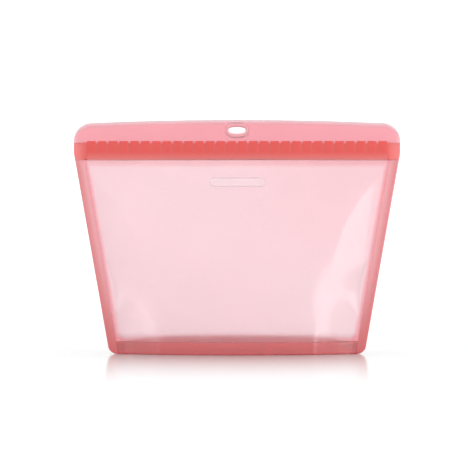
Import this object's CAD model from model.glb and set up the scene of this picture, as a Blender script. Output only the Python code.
"""Stand-up reusable silicone bag, closed: the looks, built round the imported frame."""
import math

import bmesh
import bpy
import numpy as np
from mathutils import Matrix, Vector


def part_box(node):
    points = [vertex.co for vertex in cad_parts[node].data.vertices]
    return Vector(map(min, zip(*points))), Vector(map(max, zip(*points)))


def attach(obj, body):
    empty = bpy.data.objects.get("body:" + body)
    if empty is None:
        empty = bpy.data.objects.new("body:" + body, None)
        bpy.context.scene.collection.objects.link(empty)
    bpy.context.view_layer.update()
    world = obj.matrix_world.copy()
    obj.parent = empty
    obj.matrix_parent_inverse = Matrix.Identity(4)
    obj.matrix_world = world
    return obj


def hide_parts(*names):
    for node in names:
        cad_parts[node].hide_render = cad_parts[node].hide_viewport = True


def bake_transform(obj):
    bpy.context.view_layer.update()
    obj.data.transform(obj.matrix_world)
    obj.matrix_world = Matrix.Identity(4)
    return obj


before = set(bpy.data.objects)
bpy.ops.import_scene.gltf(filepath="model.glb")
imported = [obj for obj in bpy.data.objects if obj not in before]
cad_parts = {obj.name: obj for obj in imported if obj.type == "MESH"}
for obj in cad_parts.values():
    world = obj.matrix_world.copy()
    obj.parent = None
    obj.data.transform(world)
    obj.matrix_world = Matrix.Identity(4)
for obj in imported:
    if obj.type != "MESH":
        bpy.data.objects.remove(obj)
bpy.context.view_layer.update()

MM = 0.001
FRONT, BACK = -1, 1          # the two walls' sides of the middle plane, along y

# ---- sizes read from the frame -------------------------------------------
LIP_LOW, LIP_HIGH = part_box("front_lip")
BAND_LOW, BAND_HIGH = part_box("front_zip_band")
RIB_LOW, RIB_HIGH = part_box("front_grip_ribs")
RIM_LOW, RIM_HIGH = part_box("front_base_rim")
COLLAR_LOW, COLLAR_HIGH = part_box("front_slot_collar")
BADGE_LOW, BADGE_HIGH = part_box("front_badge")
FOLD_LOW, FOLD_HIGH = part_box("gusset_fold")
GUSSET_LOW, GUSSET_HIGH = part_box("front_gusset")
SEAM_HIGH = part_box("right_side_seam")[1]
CORNER_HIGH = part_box("right_gusset_corner")[1]

HALF_WIDTH = LIP_HIGH.x
TOP = LIP_HIGH.z
ZIP_LOW, ZIP_HIGH = BAND_LOW.z, BAND_HIGH.z
ZIP_HALF = BAND_HIGH.x
FOOT_TOP = RIM_HIGH.z
FOOT_DEPTH = -RIM_LOW.y
SIDE_LEAN = (SEAM_HIGH.x - CORNER_HIGH.x) / (SEAM_HIGH.z - CORNER_HIGH.z)
SLOT_Z = (COLLAR_LOW.z + COLLAR_HIGH.z) / 2
COLLAR_HALF = ((COLLAR_HIGH.x - COLLAR_LOW.x) / 2, (COLLAR_HIGH.z - COLLAR_LOW.z) / 2)

# ---- driving sizes of the looks ------------------------------------------
SEAM_WIDTH = 7.6 * MM
WALL = 1.2 * MM              # membrane thickness
WALL_INSET = 0.5 * MM        # how far a wall's face lies inside the foot's at the foot
WALL_GAP = 0.05 * MM         # between a wall or foot rim and the side borders
ZIP_DEPTH = 3.9 * MM         # middle plane to a wall's face where it meets the zip
BELLY_POWER = 1.6            # the higher, the longer a wall stays deep above the foot
SEAM_FACE = 1.5 * MM         # middle plane to a wall's face where it meets its seam
RIDGE_FOOT = 0.595           # place of the ridge at the foot, as a share of the half width
RIDGE_GAIN = 0.42            # how much that share grows up to the zip
RIDGE_POWER = 2.8            # the higher, the later it grows
RIDGE_SOFT = 0.5 * MM        # how much the ridge is rounded
RIDGE_DEPTH = 0.8            # most that the ridge comes forward, as a share of the middle
FACET_SLOPE = 0.80           # how steeply a side facet comes forward, at the foot
FACET_EASE = 0.32            # how much less steep it is high up
FACET_RISE = 45 * MM         # height over which it grows less steep
FLARE = 6 * MM               # how far from its seam a facet is still nearly flat

RIM_THICK = 2.6 * MM         # border round the foot
RIM_ROUNDING = 1.1 * MM
BORDER_ROUNDING = 1.3 * MM   # edges of the side borders
BORDER_HALF = 2.0 * MM       # half thickness of a side border at its outer edge
BOTTOM_CORNER = 6 * MM

BAND_ROUNDING = 1.1 * MM
BAND_LAP = 0.5 * MM          # how far the front band reaches down over its wall
RIB_COUNT = 28
RIB_PITCH = 8.9 * MM
RIB_ROUNDING = 1.3 * MM

LIP_CORNER = 15 * MM
LIP_DROP = 2.6 * MM          # how much lower the lips' arched edge is at its corners
LIP_ROUNDING = 1.1 * MM
SLOT_HALF = (7.1 * MM, 2.8 * MM)   # half width and half height of the hanging slot


# ---- shape of the bag ----------------------------------------------------
def smooth(t):
    t = np.clip(t, 0, 1)
    return t * t * (3 - 2 * t)


def side_x(z):
    """Middle to the outer side edge at height z."""
    return np.minimum(CORNER_HIGH.x + SIDE_LEAN * (z - CORNER_HIGH.z), HALF_WIDTH)


def wall_x(z):
    """Middle to the line where a wall runs into its side seam."""
    return side_x(z) - SEAM_WIDTH


def wall_depth(z):
    """Middle plane to the wall's face on the centre line at height z."""
    t = np.clip((z - FOOT_TOP) / (ZIP_LOW - FOOT_TOP), 0, 1)
    full = FOOT_DEPTH - WALL_INSET
    return ZIP_DEPTH + (full - ZIP_DEPTH) * (1 + np.cos(math.pi * t ** BELLY_POWER)) / 2


def ridge_x(z):
    """Middle to the soft ridge where a wall turns in towards its seam."""
    t = np.clip((z - FOOT_TOP) / (ZIP_LOW - FOOT_TOP), 0, 1)
    return wall_x(z) * (RIDGE_FOOT + RIDGE_GAIN * t ** RIDGE_POWER)


def bulge(x, z):
    """Middle plane to the wall's outer face: a bowed middle and two side facets."""
    deep = wall_depth(z)
    inset = np.clip(wall_x(z) - np.abs(x), 0, None)
    slope = FACET_SLOPE - FACET_EASE * (1 - np.exp(-(z - FOOT_TOP) / FACET_RISE))

    def facet(u):
        return slope * (u - FLARE * (1 - np.exp(-u / FLARE)))

    at_ridge = np.minimum(facet(wall_x(z) - ridge_x(z)), RIDGE_DEPTH * deep)
    middle = deep - (deep - at_ridge) * (x / ridge_x(z)) ** 2
    turned = SEAM_FACE + facet(inset)
    share = np.clip(0.5 + 0.5 * (turned - middle) / RIDGE_SOFT, 0, 1)
    face = turned + (middle - turned) * share - RIDGE_SOFT * share * (1 - share)
    calm_border = 25 * MM
    return np.maximum(face, SEAM_FACE) + ripple(x, z) * smooth(inset / calm_border)


def ripple(x, z):
    """Slight unevenness of a soft wall, strongest along creases from its top corners."""
    wave_height, crease_height = 0.16 * MM, 0.35 * MM
    waves = np.sin(x * 47 + 1.3) * np.sin(z * 61 + 0.4) + 0.6 * np.sin(x * 83 - z * 52 + 2.1)
    top_corner = wall_x(ZIP_LOW)
    angle = np.arctan2(ZIP_LOW - z, top_corner - np.abs(x) + 1 * MM)
    far = np.hypot(ZIP_LOW - z, top_corner - np.abs(x))
    steep = np.exp(-((angle - 0.80) / 0.07) ** 2)
    flat = 0.7 * np.exp(-((angle - 0.45) / 0.06) ** 2)
    fade = smooth(far / (15 * MM)) * (1 - smooth((far - 30 * MM) / (70 * MM)))
    return wave_height * waves + crease_height * (steep + flat) * fade


def top_z(x):
    """Height of the lips' arched upper edge, with its rounded corners."""
    shoulder = HALF_WIDTH - LIP_CORNER
    arch = TOP - LIP_DROP * (np.abs(x) / shoulder) ** 2
    t = np.clip((np.abs(x) - shoulder) / LIP_CORNER, 0, 1)
    rounded = TOP - LIP_DROP - LIP_CORNER * (1 - np.sqrt(1 - t ** 2))
    return np.where(np.abs(x) > shoulder, rounded, arch)


def open_weight(x, z):
    """How far a place follows the opening wall: all at the middle, none at the seams."""
    start_height = 60 * MM
    t = np.clip(np.abs(x) / np.minimum(wall_x(z), ZIP_HALF), 0, 1)
    return (1 - t ** 2) ** 1.3 * smooth((z - FOOT_TOP) / start_height)


def fold_weight(x, share=1.0):
    """How far a place on the base follows the rising crease: not at all at its ends."""
    end_length = 45 * MM
    return smooth((FOLD_HIGH.x - np.abs(x)) / end_length) * share


# ---- mesh building -------------------------------------------------------
def stops(length, radius, count):
    """Distances along an edge, close together within radius of both ends."""
    near = radius * (1 - np.cos(np.linspace(0, math.pi / 2, 5)))
    return np.concatenate([near, np.linspace(radius, length - radius, count)[1:-1],
                           length - near[::-1]])


def mesh_object(name, verts, faces):
    """Object with one closed mesh, its doubled points merged and its faces turned outwards."""
    mesh = bpy.data.meshes.new(name)
    mesh.from_pydata([tuple(v) for v in verts], [], faces)
    bm = bmesh.new()
    bm.from_mesh(mesh)
    bmesh.ops.remove_doubles(bm, verts=bm.verts, dist=2e-6)
    bmesh.ops.dissolve_degenerate(bm, edges=bm.edges, dist=1e-7)
    bmesh.ops.recalc_face_normals(bm, faces=bm.faces)
    if bm.calc_volume(signed=True) < 0:
        bmesh.ops.reverse_faces(bm, faces=bm.faces)
    bm.to_mesh(mesh)
    bm.free()
    mesh.shade_smooth()
    obj = bpy.data.objects.new(name, mesh)
    bpy.context.collection.objects.link(obj)
    return obj


def shell_parts(outer, inner, start=0, window=None):
    """Vertices and faces of a closed shell between two grids of points.

    window gives the first and last row and column of a block left open.
    """
    rows, cols = outer.shape[:2]
    count = rows * cols
    verts = np.concatenate([outer.reshape(-1, 3), inner.reshape(-1, 3)])
    r0, r1, c0, c1 = window or (0, 0, 0, 0)
    faces = []
    for r in range(rows - 1):
        for c in range(cols - 1):
            if r0 <= r < r1 and c0 <= c < c1:
                continue
            a = start + r * cols + c
            quad = (a, a + 1, a + cols + 1, a + cols)
            faces.append(quad)
            faces.append(tuple(i + count for i in reversed(quad)))
    rims = [block_border(0, rows - 1, 0, cols - 1)]
    if window:
        rims.append(block_border(r0, r1, c0, c1))
    for rim in rims:
        loop = [start + r * cols + c for r, c in rim]
        for a, b in zip(loop, loop[1:] + loop[:1]):
            faces.append((a, a + count, b + count, b))
    return verts, faces


def block_border(r0, r1, c0, c1):
    """Row and column of each point round a block of a grid, in order."""
    return ([(r0, c) for c in range(c0, c1)] + [(r, c1) for r in range(r0, r1)]
            + [(r1, c) for c in range(c1, c0, -1)] + [(r, c0) for r in range(r1, r0, -1)])


def shell(name, *pairs, window=None):
    """One object from one or more closed shells, each an outer and an inner grid."""
    verts, faces, start = [], [], 0
    for outer, inner in pairs:
        more, polys = shell_parts(outer, inner, start, window)
        verts.append(more)
        faces += polys
        start += len(more)
    return mesh_object(name, np.concatenate(verts), faces)


def rounding(distance, radius):
    """Share of the full thickness at a distance from a rounded edge."""
    return np.sqrt(np.clip(1 - (1 - np.clip(distance / radius, 0, 1)) ** 2, 0, 1))


def leaf(x, z, y, half, gap, radius):
    """Outer and inner grids of a plate seen from the front.

    y is the plate's middle surface, half its half thickness, and gap each
    point's distance from the plate's edge, which is rounded within radius.
    """
    thick = half * rounding(gap, radius)
    return (np.stack([x, y - thick, z], axis=-1), np.stack([x, y + thick, z], axis=-1))


def bar(x_range, z_range, y_range, radius, across=4, up=4):
    """Grids of a straight bar with rounded edges."""
    a = stops(x_range[1] - x_range[0], radius, across)
    b = stops(z_range[1] - z_range[0], radius, up)
    ga, gb = np.meshgrid(a, b)
    gap = np.minimum(np.minimum(ga, a[-1] - ga), np.minimum(gb, b[-1] - gb))
    middle = (y_range[0] + y_range[1]) / 2
    half = abs(y_range[1] - y_range[0]) / 2
    return leaf(ga + x_range[0], gb + z_range[0], np.full_like(ga, middle),
                np.full_like(ga, half), gap, radius)


def points_of(obj):
    """The x, y and z of an object's vertices, as three arrays."""
    co = np.empty(len(obj.data.vertices) * 3)
    obj.data.vertices.foreach_get("co", co)
    return co.reshape(-1, 3).T


def bend(obj, weight):
    """Let a piece of a wall or the base bow away from the foot as its body moves."""
    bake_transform(obj)
    values = weight(*points_of(obj)).astype(np.float32)


def follow_wall(obj):
    """Let a piece of a wall bow outwards with it as the mouth opens."""
    bend(obj, lambda x, y, z: open_weight(x, z))


def store_share(obj, value):
    """Store how far each vertex goes over to its material's second colour."""
    layer = obj.data.attributes.new("share", "FLOAT", "POINT")
    layer.data.foreach_set("value", value(*points_of(obj)).astype(np.float32))


def side_name(side):
    return "front" if side == FRONT else "back"


def hand_name(hand):
    return "right" if hand > 0 else "left"


# ---- materials -----------------------------------------------------------
SILICONE_IOR = 1.41
CLOUD_SCALE = 22             # noise scales are per metre
GLOSS_SCALE = 60
GRAIN_SCALE = 1400
GRAIN_DEPTH = 0.2 * MM


def noise_range(nodes, links, coordinates, scale, low, high):
    """Noise at a scale per metre, stretched to run from low to high."""
    noise = nodes.new("ShaderNodeTexNoise")
    noise.inputs["Scale"].default_value = scale
    noise.inputs["Detail"].default_value = 3
    links.new(coordinates, noise.inputs["Vector"])
    span = nodes.new("ShaderNodeMapRange")
    span.inputs["From Min"].default_value = 0.3
    span.inputs["From Max"].default_value = 0.7
    span.inputs["To Min"].default_value = low
    span.inputs["To Max"].default_value = high
    links.new(noise.outputs["Fac"], span.inputs["Value"])
    return span.outputs["Result"]


def moulded_surface(name, colour, second, roughness):
    """Principled shader with the cloudy colour, fine grain and gloss of moulded silicone.

    The colour goes over to second where the mesh's "share" attribute is 1.
    """
    mat = bpy.data.materials.new(name)
    mat.use_nodes = True
    nodes, links = mat.node_tree.nodes, mat.node_tree.links
    body = nodes["Principled BSDF"]
    place = nodes.new("ShaderNodeTexCoord").outputs["Object"]
    share = nodes.new("ShaderNodeAttribute")
    share.attribute_name = "share"
    two_tone = nodes.new("ShaderNodeMix")
    two_tone.data_type = "RGBA"
    two_tone.inputs["A"].default_value = (*colour, 1)
    two_tone.inputs["B"].default_value = (*second, 1)
    links.new(share.outputs["Fac"], two_tone.inputs["Factor"])
    tint = nodes.new("ShaderNodeVectorMath")
    tint.operation = "SCALE"
    links.new(two_tone.outputs["Result"], tint.inputs[0])
    links.new(noise_range(nodes, links, place, CLOUD_SCALE, 0.98, 1), tint.inputs["Scale"])
    links.new(tint.outputs["Vector"], body.inputs["Base Color"])
    rough = noise_range(nodes, links, place, GLOSS_SCALE, roughness - 0.04, roughness + 0.05)
    links.new(rough, body.inputs["Roughness"])
    grain = nodes.new("ShaderNodeTexNoise")
    grain.inputs["Scale"].default_value = GRAIN_SCALE
    grain.inputs["Detail"].default_value = 2
    links.new(place, grain.inputs["Vector"])
    bump = nodes.new("ShaderNodeBump")
    bump.inputs["Strength"].default_value = 0.05
    bump.inputs["Distance"].default_value = GRAIN_DEPTH
    links.new(grain.outputs["Fac"], bump.inputs["Height"])
    links.new(bump.outputs["Normal"], body.inputs["Normal"])
    body.inputs["IOR"].default_value = SILICONE_IOR
    body.inputs["Coat Roughness"].default_value = 0.07
    return mat, body


def clear_silicone(name, absorbs, colour, second, clear=0.88, roughness=0.22):
    """See-through silicone: absorbs is the light lost per metre, in red, green and blue."""
    mat, body = moulded_surface(name, colour, second, roughness)
    body.inputs["Transmission Weight"].default_value = clear
    body.inputs["Coat Weight"].default_value = 0.5
    nodes, links = mat.node_tree.nodes, mat.node_tree.links
    inside = nodes.new("ShaderNodeVolumeAbsorption")
    density = max(absorbs) * 1.25
    inside.inputs["Density"].default_value = density
    inside.inputs["Color"].default_value = (*[1 - a / density for a in absorbs], 1)
    links.new(inside.outputs["Volume"], nodes["Material Output"].inputs["Volume"])
    return mat


def dense_silicone(name, colour, second, roughness=0.34):
    """Nearly opaque silicone that glows a little when lit from behind."""
    mat, body = moulded_surface(name, colour, second, roughness)
    body.inputs["Coat Weight"].default_value = 0.3
    nodes, links = mat.node_tree.nodes, mat.node_tree.links
    glow = nodes.new("ShaderNodeBsdfTranslucent")
    links.new(body.inputs["Base Color"].links[0].from_socket, glow.inputs["Color"])
    mix = nodes.new("ShaderNodeMixShader")
    mix.inputs["Fac"].default_value = 0.35
    links.new(body.outputs["BSDF"], mix.inputs[1])
    links.new(glow.outputs["BSDF"], mix.inputs[2])
    links.new(mix.outputs["Shader"], nodes["Material Output"].inputs["Surface"])
    return mat


def badge_silicone():
    """Nearly invisible where it lies on the wall: little refraction and little gloss."""
    colour = (1.0, 0.92, 0.94)
    mat = clear_silicone("badge_silicone", (1, 20, 18), colour, colour, clear=0.72, roughness=0.1)
    body = mat.node_tree.nodes["Principled BSDF"]
    body.inputs["IOR"].default_value = 1.03
    body.inputs["Coat Weight"].default_value = 0.1
    return mat


def finish_piece(obj, material):
    """Give a piece its material and its slot in the record."""
    obj.data.materials.append(material)


MEMBRANE = clear_silicone("membrane_silicone", (2, 95, 82), (1.0, 0.92, 0.94),
                          (0.97, 0.62, 0.65))
BORDER = clear_silicone("border_silicone", (50, 240, 225), (0.98, 0.64, 0.67),
                        (0.80, 0.22, 0.23), clear=0.62)
FOOT = clear_silicone("foot_silicone", (20, 400, 390), (0.90, 0.24, 0.25),
                      (0.90, 0.24, 0.25), clear=0.62)
LIP = clear_silicone("lip_silicone", (14, 205, 180), (1.0, 0.86, 0.89), (1.0, 0.97, 0.98),
                     roughness=0.2)
BADGE = badge_silicone()
ZIP = dense_silicone("zip_silicone", (0.90, 0.13, 0.115), (0.99, 0.50, 0.50))
COLLAR = dense_silicone("collar_silicone", (1.0, 0.52, 0.56), (0.72, 0.36, 0.41))


# ---- walls ---------------------------------------------------------------
def wall(side):
    """Soft membrane from the foot up to the zip, thicker and deeper round its border."""
    low, high = FOOT_TOP - 0.4 * MM, ZIP_LOW + 1.2 * MM
    crowding = 1.35          # draws the columns closer together towards both borders
    columns = np.sin(np.linspace(-1, 1, 230) * crowding) / math.sin(crowding)
    across, z = np.meshgrid(columns, stops(high - low, 3 * MM, 110) + low)
    x = across * (wall_x(z) - WALL_GAP)
    y = bulge(x, z)
    border_extra, border_width, middle_gap = 0.9 * MM, 7 * MM, 0.15 * MM
    thick = WALL + border_extra * (1 - smooth(wall_edge(x, z) / border_width))
    thick = np.minimum(thick, y - middle_gap)
    outer = np.stack([x, side * y, z], axis=-1)
    inner = np.stack([x, side * (y - thick), z], axis=-1)
    obj = shell(side_name(side) + "_wall_skin", (outer, inner))
    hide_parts(side_name(side) + "_panel")
    finish_piece(obj, MEMBRANE)
    store_share(obj, wall_share)
    follow_wall(obj)


def wall_edge(x, z):
    """Distance from a wall's side and bottom borders, whose corners are rounded."""
    corner = 8 * MM
    beside = np.clip(corner - (wall_x(z) - np.abs(x)), 0, None)
    above = np.clip(corner - (z - FOOT_TOP), 0, None)
    return corner - np.hypot(beside, above)


def wall_share(x, y, z):
    """Where a wall is thicker: round its border, under the zip and a little to one side."""
    border = 1 - smooth(wall_edge(x, z) / (4.5 * MM))
    under_zip = 0.4 * (1 - smooth((ZIP_LOW - z - 3 * MM) / (4 * MM)))
    uneven = 0.12 * smooth((x + 20 * MM) / (100 * MM)) * smooth((z - 60 * MM) / (60 * MM))
    return np.clip(np.maximum(border, under_zip) + uneven, 0, 1)


def badge():
    """Plain raised pad on the front wall."""
    gap_behind, height, edge_rounding = 0.02 * MM, 0.2 * MM, 1.2 * MM
    half_w, half_h = (BADGE_HIGH.x - BADGE_LOW.x) / 2, (BADGE_HIGH.z - BADGE_LOW.z) / 2
    middle = (BADGE_HIGH.z + BADGE_LOW.z) / 2
    u, v = np.meshgrid(np.linspace(-1, 1, 61), np.linspace(-1, 1, 13))
    x = u * half_w
    end = np.clip((np.abs(x) - (half_w - half_h)) / half_h, 0, 1)
    reach = half_h * np.sqrt(np.clip(1 - end ** 2, 0, 1))
    z = middle + v * reach
    gap = np.minimum(reach * (1 - np.abs(v)), half_w - np.abs(x))
    back = -bulge(x, z) - gap_behind
    outer = np.stack([x, back - height * rounding(gap, edge_rounding), z], axis=-1)
    inner = np.stack([x, back, z], axis=-1)
    obj = shell("plain_badge", (outer, inner))
    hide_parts("front_badge")
    finish_piece(obj, BADGE)
    follow_wall(obj)


# ---- foot and sides ------------------------------------------------------
def foot_rim(side):
    """Thick border round the foot, rounded above and below and thinner at its ends."""
    middle_gap = 0.05 * MM
    u, up = np.meshgrid(np.linspace(-1, 1, 120), stops(FOOT_TOP, RIM_ROUNDING, 6))
    x = u * (wall_x(up) - WALL_GAP)
    face = bulge(x, np.full_like(x, FOOT_TOP)) + WALL_INSET
    half = np.minimum(RIM_THICK, face - middle_gap) / 2
    gap = np.minimum(up, FOOT_TOP - up)
    obj = shell(side_name(side) + "_foot_rim",
                leaf(x, up, side * (face - half), half, gap, RIM_ROUNDING))
    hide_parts(side_name(side) + "_base_rim")
    finish_piece(obj, FOOT)
    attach(obj, "foot")


def gusset_rim(x):
    """Middle plane to the line where the base membrane runs into the foot rim."""
    return np.maximum(bulge(x, np.full_like(x, FOOT_TOP)) - RIM_THICK + 0.4 * MM, 1.7 * MM)


def gusset(side):
    """Half of the base membrane, from the foot rim in to the crease, with a slight sag."""
    reach = wall_x(FOOT_TOP) - 3 * MM
    u, v = np.meshgrid(np.linspace(-1, 1, 90), np.linspace(0, 1, 14))
    x = u * reach
    crease, sag, half = 1.3 * MM, 1.2 * MM, WALL / 2
    y = gusset_rim(x) + (crease - gusset_rim(x)) * v
    low, high = GUSSET_LOW.z, GUSSET_HIGH.z
    z = low + half + (high - low - WALL) * v - sag * np.sin(math.pi * v) * (1 - u ** 2)
    obj = shell(side_name(side) + "_gusset_skin",
                (np.stack([x, side * y, z + half], axis=-1),
                 np.stack([x, side * y, z - half], axis=-1)))
    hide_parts(side_name(side) + "_gusset")
    finish_piece(obj, MEMBRANE)

    def from_rim(px, py, pz):
        rim = gusset_rim(px)
        return fold_weight(px, smooth((rim - np.abs(py)) / (rim - crease)))

    bend(obj, from_rim)


def crease_bead():
    """Thick bead along the line where the base folds."""
    obj = shell("crease_bead", bar((FOLD_LOW.x, FOLD_HIGH.x), (FOLD_LOW.z, FOLD_HIGH.z),
                                   (FOLD_LOW.y, FOLD_HIGH.y), 1.0 * MM, across=80))
    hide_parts("gusset_fold")
    finish_piece(obj, FOOT)
    bend(obj, lambda x, y, z: fold_weight(x))


def side_border(hand):
    """Thick border up one side, from the rounded bottom corner to the zip."""
    high = SEAM_HIGH.z
    a, up = np.meshgrid(stops(SEAM_WIDTH, BORDER_ROUNDING, 6), stops(high, BORDER_ROUNDING, 110))
    beside = np.clip(BOTTOM_CORNER - a, 0, None)
    lift = BOTTOM_CORNER - np.sqrt(np.clip(BOTTOM_CORNER ** 2 - beside ** 2, 0, None))
    lift_height = 30 * MM
    z = up + lift * np.clip(1 - up / lift_height, 0, 1)
    gap = np.minimum(a, np.minimum(up, high - z))
    full_width = 4.2 * MM
    thinner = smooth((a - full_width) / (SEAM_WIDTH - full_width))
    half = BORDER_HALF + (SEAM_FACE - BORDER_HALF) * thinner
    obj = shell(hand_name(hand) + "_side_border",
                leaf(hand * (side_x(z) - a), z, np.zeros_like(z), half, gap, BORDER_ROUNDING))
    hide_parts(hand_name(hand) + "_side_seam", hand_name(hand) + "_gusset_corner")
    finish_piece(obj, BORDER)
    store_share(obj, border_share)
    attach(obj, "foot")


def border_share(x, y, z):
    """A side border is deepest in colour at its outer edge and towards the foot."""
    from_edge = side_x(z) - np.abs(x)
    across = 0.6 - 0.5 * smooth((from_edge - 1.5 * MM) / (5 * MM))
    low = 1 - smooth((z - 4 * MM) / (90 * MM)) ** 0.5
    return across + (1 - across) * low


def zip_end(hand):
    """Flat welded block at one end of the zip, thinner and paler towards the side."""
    edge_rounding, thin_half, taper = 1.2 * MM, 1.9 * MM, 7 * MM
    inner, outer = ZIP_HALF + 0.02 * MM, HALF_WIDTH
    a, b = np.meshgrid(stops(outer - inner, edge_rounding, 6),
                       stops(ZIP_HIGH - ZIP_LOW, 0.6 * MM, 8))
    z = ZIP_LOW + b
    x = inner + a * (side_x(z) - inner) / (outer - inner)
    half = thin_half * (2 - smooth(a / taper))
    obj = shell(hand_name(hand) + "_zip_block",
                leaf(hand * x, z, np.zeros_like(x), half, outer - inner - a, edge_rounding))
    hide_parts(hand_name(hand) + "_zip_end")
    finish_piece(obj, ZIP)
    store_share(obj, lambda px, py, pz: 0.09 + 0.34 * smooth((abs(px) - inner) / (9 * MM)))
    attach(obj, "foot")


# ---- zip -----------------------------------------------------------------
def zip_band(side):
    """Long flat strip, paler along both edges and in the grooves between its ribs."""
    near, far = -BAND_HIGH.y, -BAND_LOW.y
    low = ZIP_LOW - BAND_LAP if side == FRONT else ZIP_LOW + 0.2 * MM
    height = ZIP_HIGH - low
    x, b = np.meshgrid(np.linspace(-ZIP_HALF, ZIP_HALF, 380), stops(height, BAND_ROUNDING, 8))
    half = np.full_like(x, (far - near) / 2)
    y = np.full_like(x, side * (near + far) / 2)
    gap = np.minimum(b, height - b)
    obj = shell(side_name(side) + "_zip_strip", leaf(x, low + b, y, half, gap, BAND_ROUNDING))
    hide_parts(side_name(side) + "_zip_band")
    finish_piece(obj, ZIP)

    def paler(px, py, pz):
        edge = 1.2 * MM
        groove = 0.05 * smooth((rib_offset(px) - 0.5) * 4) * smooth((pz - ZIP_LOW) / (10 * MM))
        lower_edge = 1 - smooth((pz - low) / edge)
        upper_edge = 0.62 * (1 - smooth((ZIP_HIGH - pz) / edge))
        return np.max([groove, lower_share(pz), lower_edge, upper_edge], axis=0)

    store_share(obj, paler)
    follow_wall(obj)


def lower_share(z):
    """The zip is paler towards its lower edge."""
    return 0.31 * (1 - smooth((z - ZIP_LOW) / (7 * MM)))


def rib_offset(x):
    """0 on the middle line of a rib, 1 halfway to the next."""
    first = -RIB_PITCH * (RIB_COUNT - 1) / 2
    along = (x - first) / RIB_PITCH
    return 2 * np.abs(along - np.round(along))


def grip_ribs(side):
    """Row of soft upright ribs, proud at the top and fading into the band lower down."""
    width = RIB_HIGH.x - RIB_LOW.x - RIB_PITCH * (RIB_COUNT - 1)
    low = ZIP_LOW + 3.5 * MM
    height = RIB_HIGH.z - low
    a, b = np.meshgrid(stops(width, RIB_ROUNDING, 4), stops(height, 0.6 * MM, 10))
    gap = np.minimum(np.minimum(a, width - a), height - b)
    sunk, softer, fade, fade_height = 0.7 * MM, 0.4 * MM, 0.35 * MM, 9 * MM
    back = -BAND_LOW.y - sunk
    proud = -RIB_LOW.y - back - softer - fade * (1 - smooth(b / fade_height))
    ribs = []
    for number in range(RIB_COUNT):
        x = RIB_LOW.x + number * RIB_PITCH + a
        ribs.append(leaf(x, low + b, side * (back + proud / 2), proud / 2, gap, RIB_ROUNDING))
    obj = shell(side_name(side) + "_zip_grips", *ribs)
    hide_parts(side_name(side) + "_grip_ribs")
    finish_piece(obj, ZIP)

    def paler(px, py, pz):
        return np.maximum(0.03 * smooth((rib_offset(px) - 0.45) * 3), lower_share(pz))

    store_share(obj, paler)
    follow_wall(obj)


def zip_tracks(level):
    """A bead on the front band and the channel it presses into on the back one."""
    low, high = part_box(level + "_zip_bead")
    columns, bead_rounding, rail_rounding, rail = 120, 0.4 * MM, 0.3 * MM, 0.9 * MM
    bead = shell(level + "_press_bead", bar((low.x, high.x), (low.z, high.z), (low.y, high.y),
                                            bead_rounding, across=columns))
    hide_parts(level + "_zip_bead")
    finish_piece(bead, ZIP)
    follow_wall(bead)
    low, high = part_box(level + "_zip_channel")
    rails = [bar((low.x, high.x), z, (low.y, high.y), rail_rounding, across=columns)
             for z in ((low.z, low.z + rail), (high.z - rail, high.z))]
    channel = shell(level + "_press_channel", *rails)
    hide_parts(level + "_zip_channel")
    finish_piece(channel, ZIP)
    follow_wall(channel)


# ---- lips ----------------------------------------------------------------
def oval_radius(x, z, half, power=2.6):
    """Scale that brings the point (x, z) onto the outline of an oval with flattened sides."""
    return ((abs(x) / half[0]) ** power + (abs(z) / half[1]) ** power) ** (-1 / power)


def signed_power(value, power):
    return np.sign(value) * abs(value) ** power


def oval_ring(outer_half, inner_half, y_range, middle_z):
    """Vertices and faces of a ring between two ovals, with a rounded section."""
    around, section, squareness = 48, 14, 0.7
    y_middle, y_half = sum(y_range) / 2, abs(y_range[1] - y_range[0]) / 2
    verts, faces = [], []
    for i in range(around):
        turn = 2 * math.pi * i / around
        c, s = math.cos(turn), math.sin(turn)
        inner, outer = (oval_radius(c, s, half) for half in (inner_half, outer_half))
        for k in range(section):
            angle = 2 * math.pi * k / section
            across = 0.5 + 0.5 * signed_power(math.cos(angle), squareness)
            reach = inner + (outer - inner) * across
            depth = signed_power(math.sin(angle), squareness)
            verts.append((c * reach, y_middle + y_half * depth, middle_z + s * reach))
            j, m = (i + 1) % around, (k + 1) % section
            faces.append((i * section + k, i * section + m, j * section + m, j * section + k))
    return verts, faces


def collar(side):
    """Raised oval frame round the hanging slot, darker along its upper edge."""
    y_range = (side * -COLLAR_HIGH.y, side * -COLLAR_LOW.y)
    verts, faces = oval_ring(COLLAR_HALF, SLOT_HALF, y_range, SLOT_Z)
    obj = mesh_object(side_name(side) + "_slot_frame", verts, faces)
    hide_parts(side_name(side) + "_slot_collar")
    finish_piece(obj, COLLAR)
    store_share(obj, lambda px, py, pz: smooth((pz - COLLAR_HIGH.z + 1.5 * MM) / (1.0 * MM)))
    follow_wall(obj)


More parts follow.
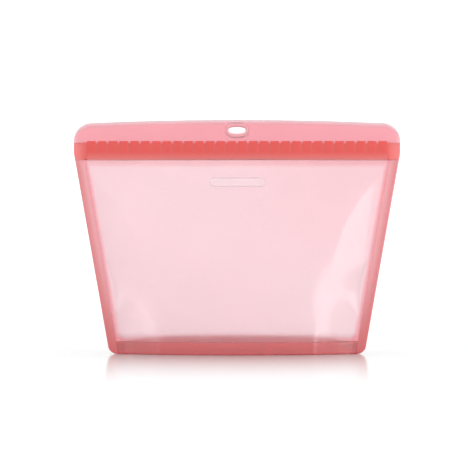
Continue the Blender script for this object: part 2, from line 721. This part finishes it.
def lip(side):
    """Flap above the zip, with rounded corners, a soft edge and the slot's opening."""
    hole = [(h + c) / 2 for h, c in zip(SLOT_HALF, COLLAR_HALF)]
    middle = np.linspace(-1, 1, 23) * hole[0] / HALF_WIDTH
    sides = np.sin(np.linspace(math.asin(middle[-1]), math.pi / 2, 90))[1:]
    u, v = np.meshgrid(np.concatenate([-sides[::-1], middle, sides]), lip_rows(hole[1]))
    x = u * HALF_WIDTH
    height = top_z(x) - ZIP_HIGH
    z = ZIP_HIGH + height * v
    rows = [int(np.argmin(np.abs(z[:, len(sides)] - (SLOT_Z + h)))) for h in (-hole[1], hole[1])]
    window = (*rows, len(sides), len(sides) + len(middle) - 1)
    for r, c in block_border(*window):
        reach = oval_radius(x[r, c], z[r, c] - SLOT_Z, hole)
        x[r, c], z[r, c] = x[r, c] * reach, SLOT_Z + (z[r, c] - SLOT_Z) * reach
    gap = np.minimum(top_z(x) - z, HALF_WIDTH - np.abs(x))
    near, far = -LIP_HIGH.y, -LIP_LOW.y
    y = np.full_like(x, side * (near + far) / 2)
    half = (far - near) / 2 * (0.5 + 0.5 * smooth((gap - 0.5 * MM) / (3.5 * MM)))
    obj = shell(side_name(side) + "_pull_lip", leaf(x, z, y, half, gap, LIP_ROUNDING),
                window=window)
    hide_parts(side_name(side) + "_lip")
    finish_piece(obj, LIP)
    store_share(obj, lambda px, py, pz: 1 - smooth((top_z(px) - pz) / (4 * MM)))
    follow_wall(obj)


def lip_rows(hole_half):
    """Heights of the lip's rows as shares of its height, with rows at the slot's ends."""
    height = TOP - ZIP_HIGH
    low, high = ((SLOT_Z + h - ZIP_HIGH) / height for h in (-hole_half, hole_half))
    edge = 1 - LIP_ROUNDING / height
    return np.concatenate([np.linspace(0, low, 6), np.linspace(low, high, 12)[1:],
                           np.linspace(high, edge, 4)[1:],
                           1 - (1 - edge) * np.cos(np.linspace(0, math.pi / 2, 7)[1:])])


# ---- build ---------------------------------------------------------------
for wall_side in (FRONT, BACK):
    wall(wall_side)
    foot_rim(wall_side)
    gusset(wall_side)
    zip_band(wall_side)
    grip_ribs(wall_side)
    lip(wall_side)
    collar(wall_side)
badge()
crease_bead()
for side_hand in (-1, 1):
    side_border(side_hand)
    zip_end(side_hand)
for track in ("lower", "upper"):
    zip_tracks(track)


# ---- studio --------------------------------------------------------------
def studio():
    """White all round, with plain colour handling."""
    scene = bpy.context.scene
    scene.view_settings.view_transform = "Standard"
    scene.view_settings.look = "None"
    world = bpy.data.worlds.new("studio_white")
    scene.world = world
    world.use_nodes = True
    back = world.node_tree.nodes["Background"]
    back.inputs["Color"].default_value = (1, 1, 1, 1)
    back.inputs["Strength"].default_value = 1.25


def floor():
    """Pale matte floor that mirrors the bag softly near its foot."""
    grey, mirror_share, mirror_near, mirror_far = 0.86, 0.75, 0.05, 0.55
    bpy.ops.mesh.primitive_plane_add(size=12, location=(0, 0, 0))
    plane = bpy.context.object
    plane.name = "studio_floor"
    mat = bpy.data.materials.new("studio_floor")
    mat.use_nodes = True
    nodes, links = mat.node_tree.nodes, mat.node_tree.links
    nodes.clear()
    out = nodes.new("ShaderNodeOutputMaterial")
    matte = nodes.new("ShaderNodeBsdfDiffuse")
    matte.inputs["Color"].default_value = (grey, grey, grey, 1)
    gloss = nodes.new("ShaderNodeBsdfGlossy")
    gloss.inputs["Roughness"].default_value = 0.1
    mix = nodes.new("ShaderNodeMixShader")
    place = nodes.new("ShaderNodeTexCoord")
    distance = nodes.new("ShaderNodeVectorMath")
    distance.operation = "LENGTH"
    links.new(place.outputs["Object"], distance.inputs[0])
    fade = nodes.new("ShaderNodeMapRange")
    fade.inputs["From Min"].default_value = mirror_near
    fade.inputs["From Max"].default_value = mirror_far
    fade.inputs["To Min"].default_value = mirror_share
    fade.inputs["To Max"].default_value = 0
    links.new(distance.outputs["Value"], fade.inputs["Value"])
    links.new(fade.outputs["Result"], mix.inputs["Fac"])
    links.new(matte.outputs["BSDF"], mix.inputs[1])
    links.new(gloss.outputs["BSDF"], mix.inputs[2])
    links.new(mix.outputs["Shader"], out.inputs["Surface"])
    plane.data.materials.append(mat)


def soft_light(name, place, target, size, power):
    """Rectangular lamp that the camera doesn't see, turned towards target."""
    data = bpy.data.lights.new(name, "AREA")
    data.shape = "RECTANGLE"
    data.size, data.size_y = size
    data.energy = power
    lamp = bpy.data.objects.new(name, data)
    bpy.context.collection.objects.link(lamp)
    lamp.location = place
    lamp.visible_camera = False
    lamp.rotation_euler = (Vector(target) - Vector(place)).to_track_quat("-Z", "Y").to_euler()


def camera():
    """Low, distant and nearly square on, with the bag filling seven tenths of the width."""
    distance, height, aim_height, left = 1.3, 40 * MM, 98.7 * MM, -2.5 * MM
    bag_share, sensor = 0.6998, 36
    data = bpy.data.cameras.new("camera")
    data.sensor_width = sensor
    data.lens = sensor * distance / (2 * HALF_WIDTH / bag_share)
    cam = bpy.data.objects.new("camera", data)
    bpy.context.collection.objects.link(cam)
    cam.location = (left, -distance, height)
    aim = Vector((left, 0, aim_height))
    cam.rotation_euler = (aim - cam.location).to_track_quat("-Z", "Y").to_euler()
    bpy.context.scene.camera = cam


studio()
floor()
camera()
soft_light("right_softbox", place=(0.66, -0.30, 0.17), target=(0.09, 0, 0.17),
           size=(0.32, 0.36), power=0.74)
soft_light("left_softbox", place=(-0.66, -0.20, 0.17), target=(-0.09, 0, 0.17),
           size=(0.10, 0.34), power=0.12)
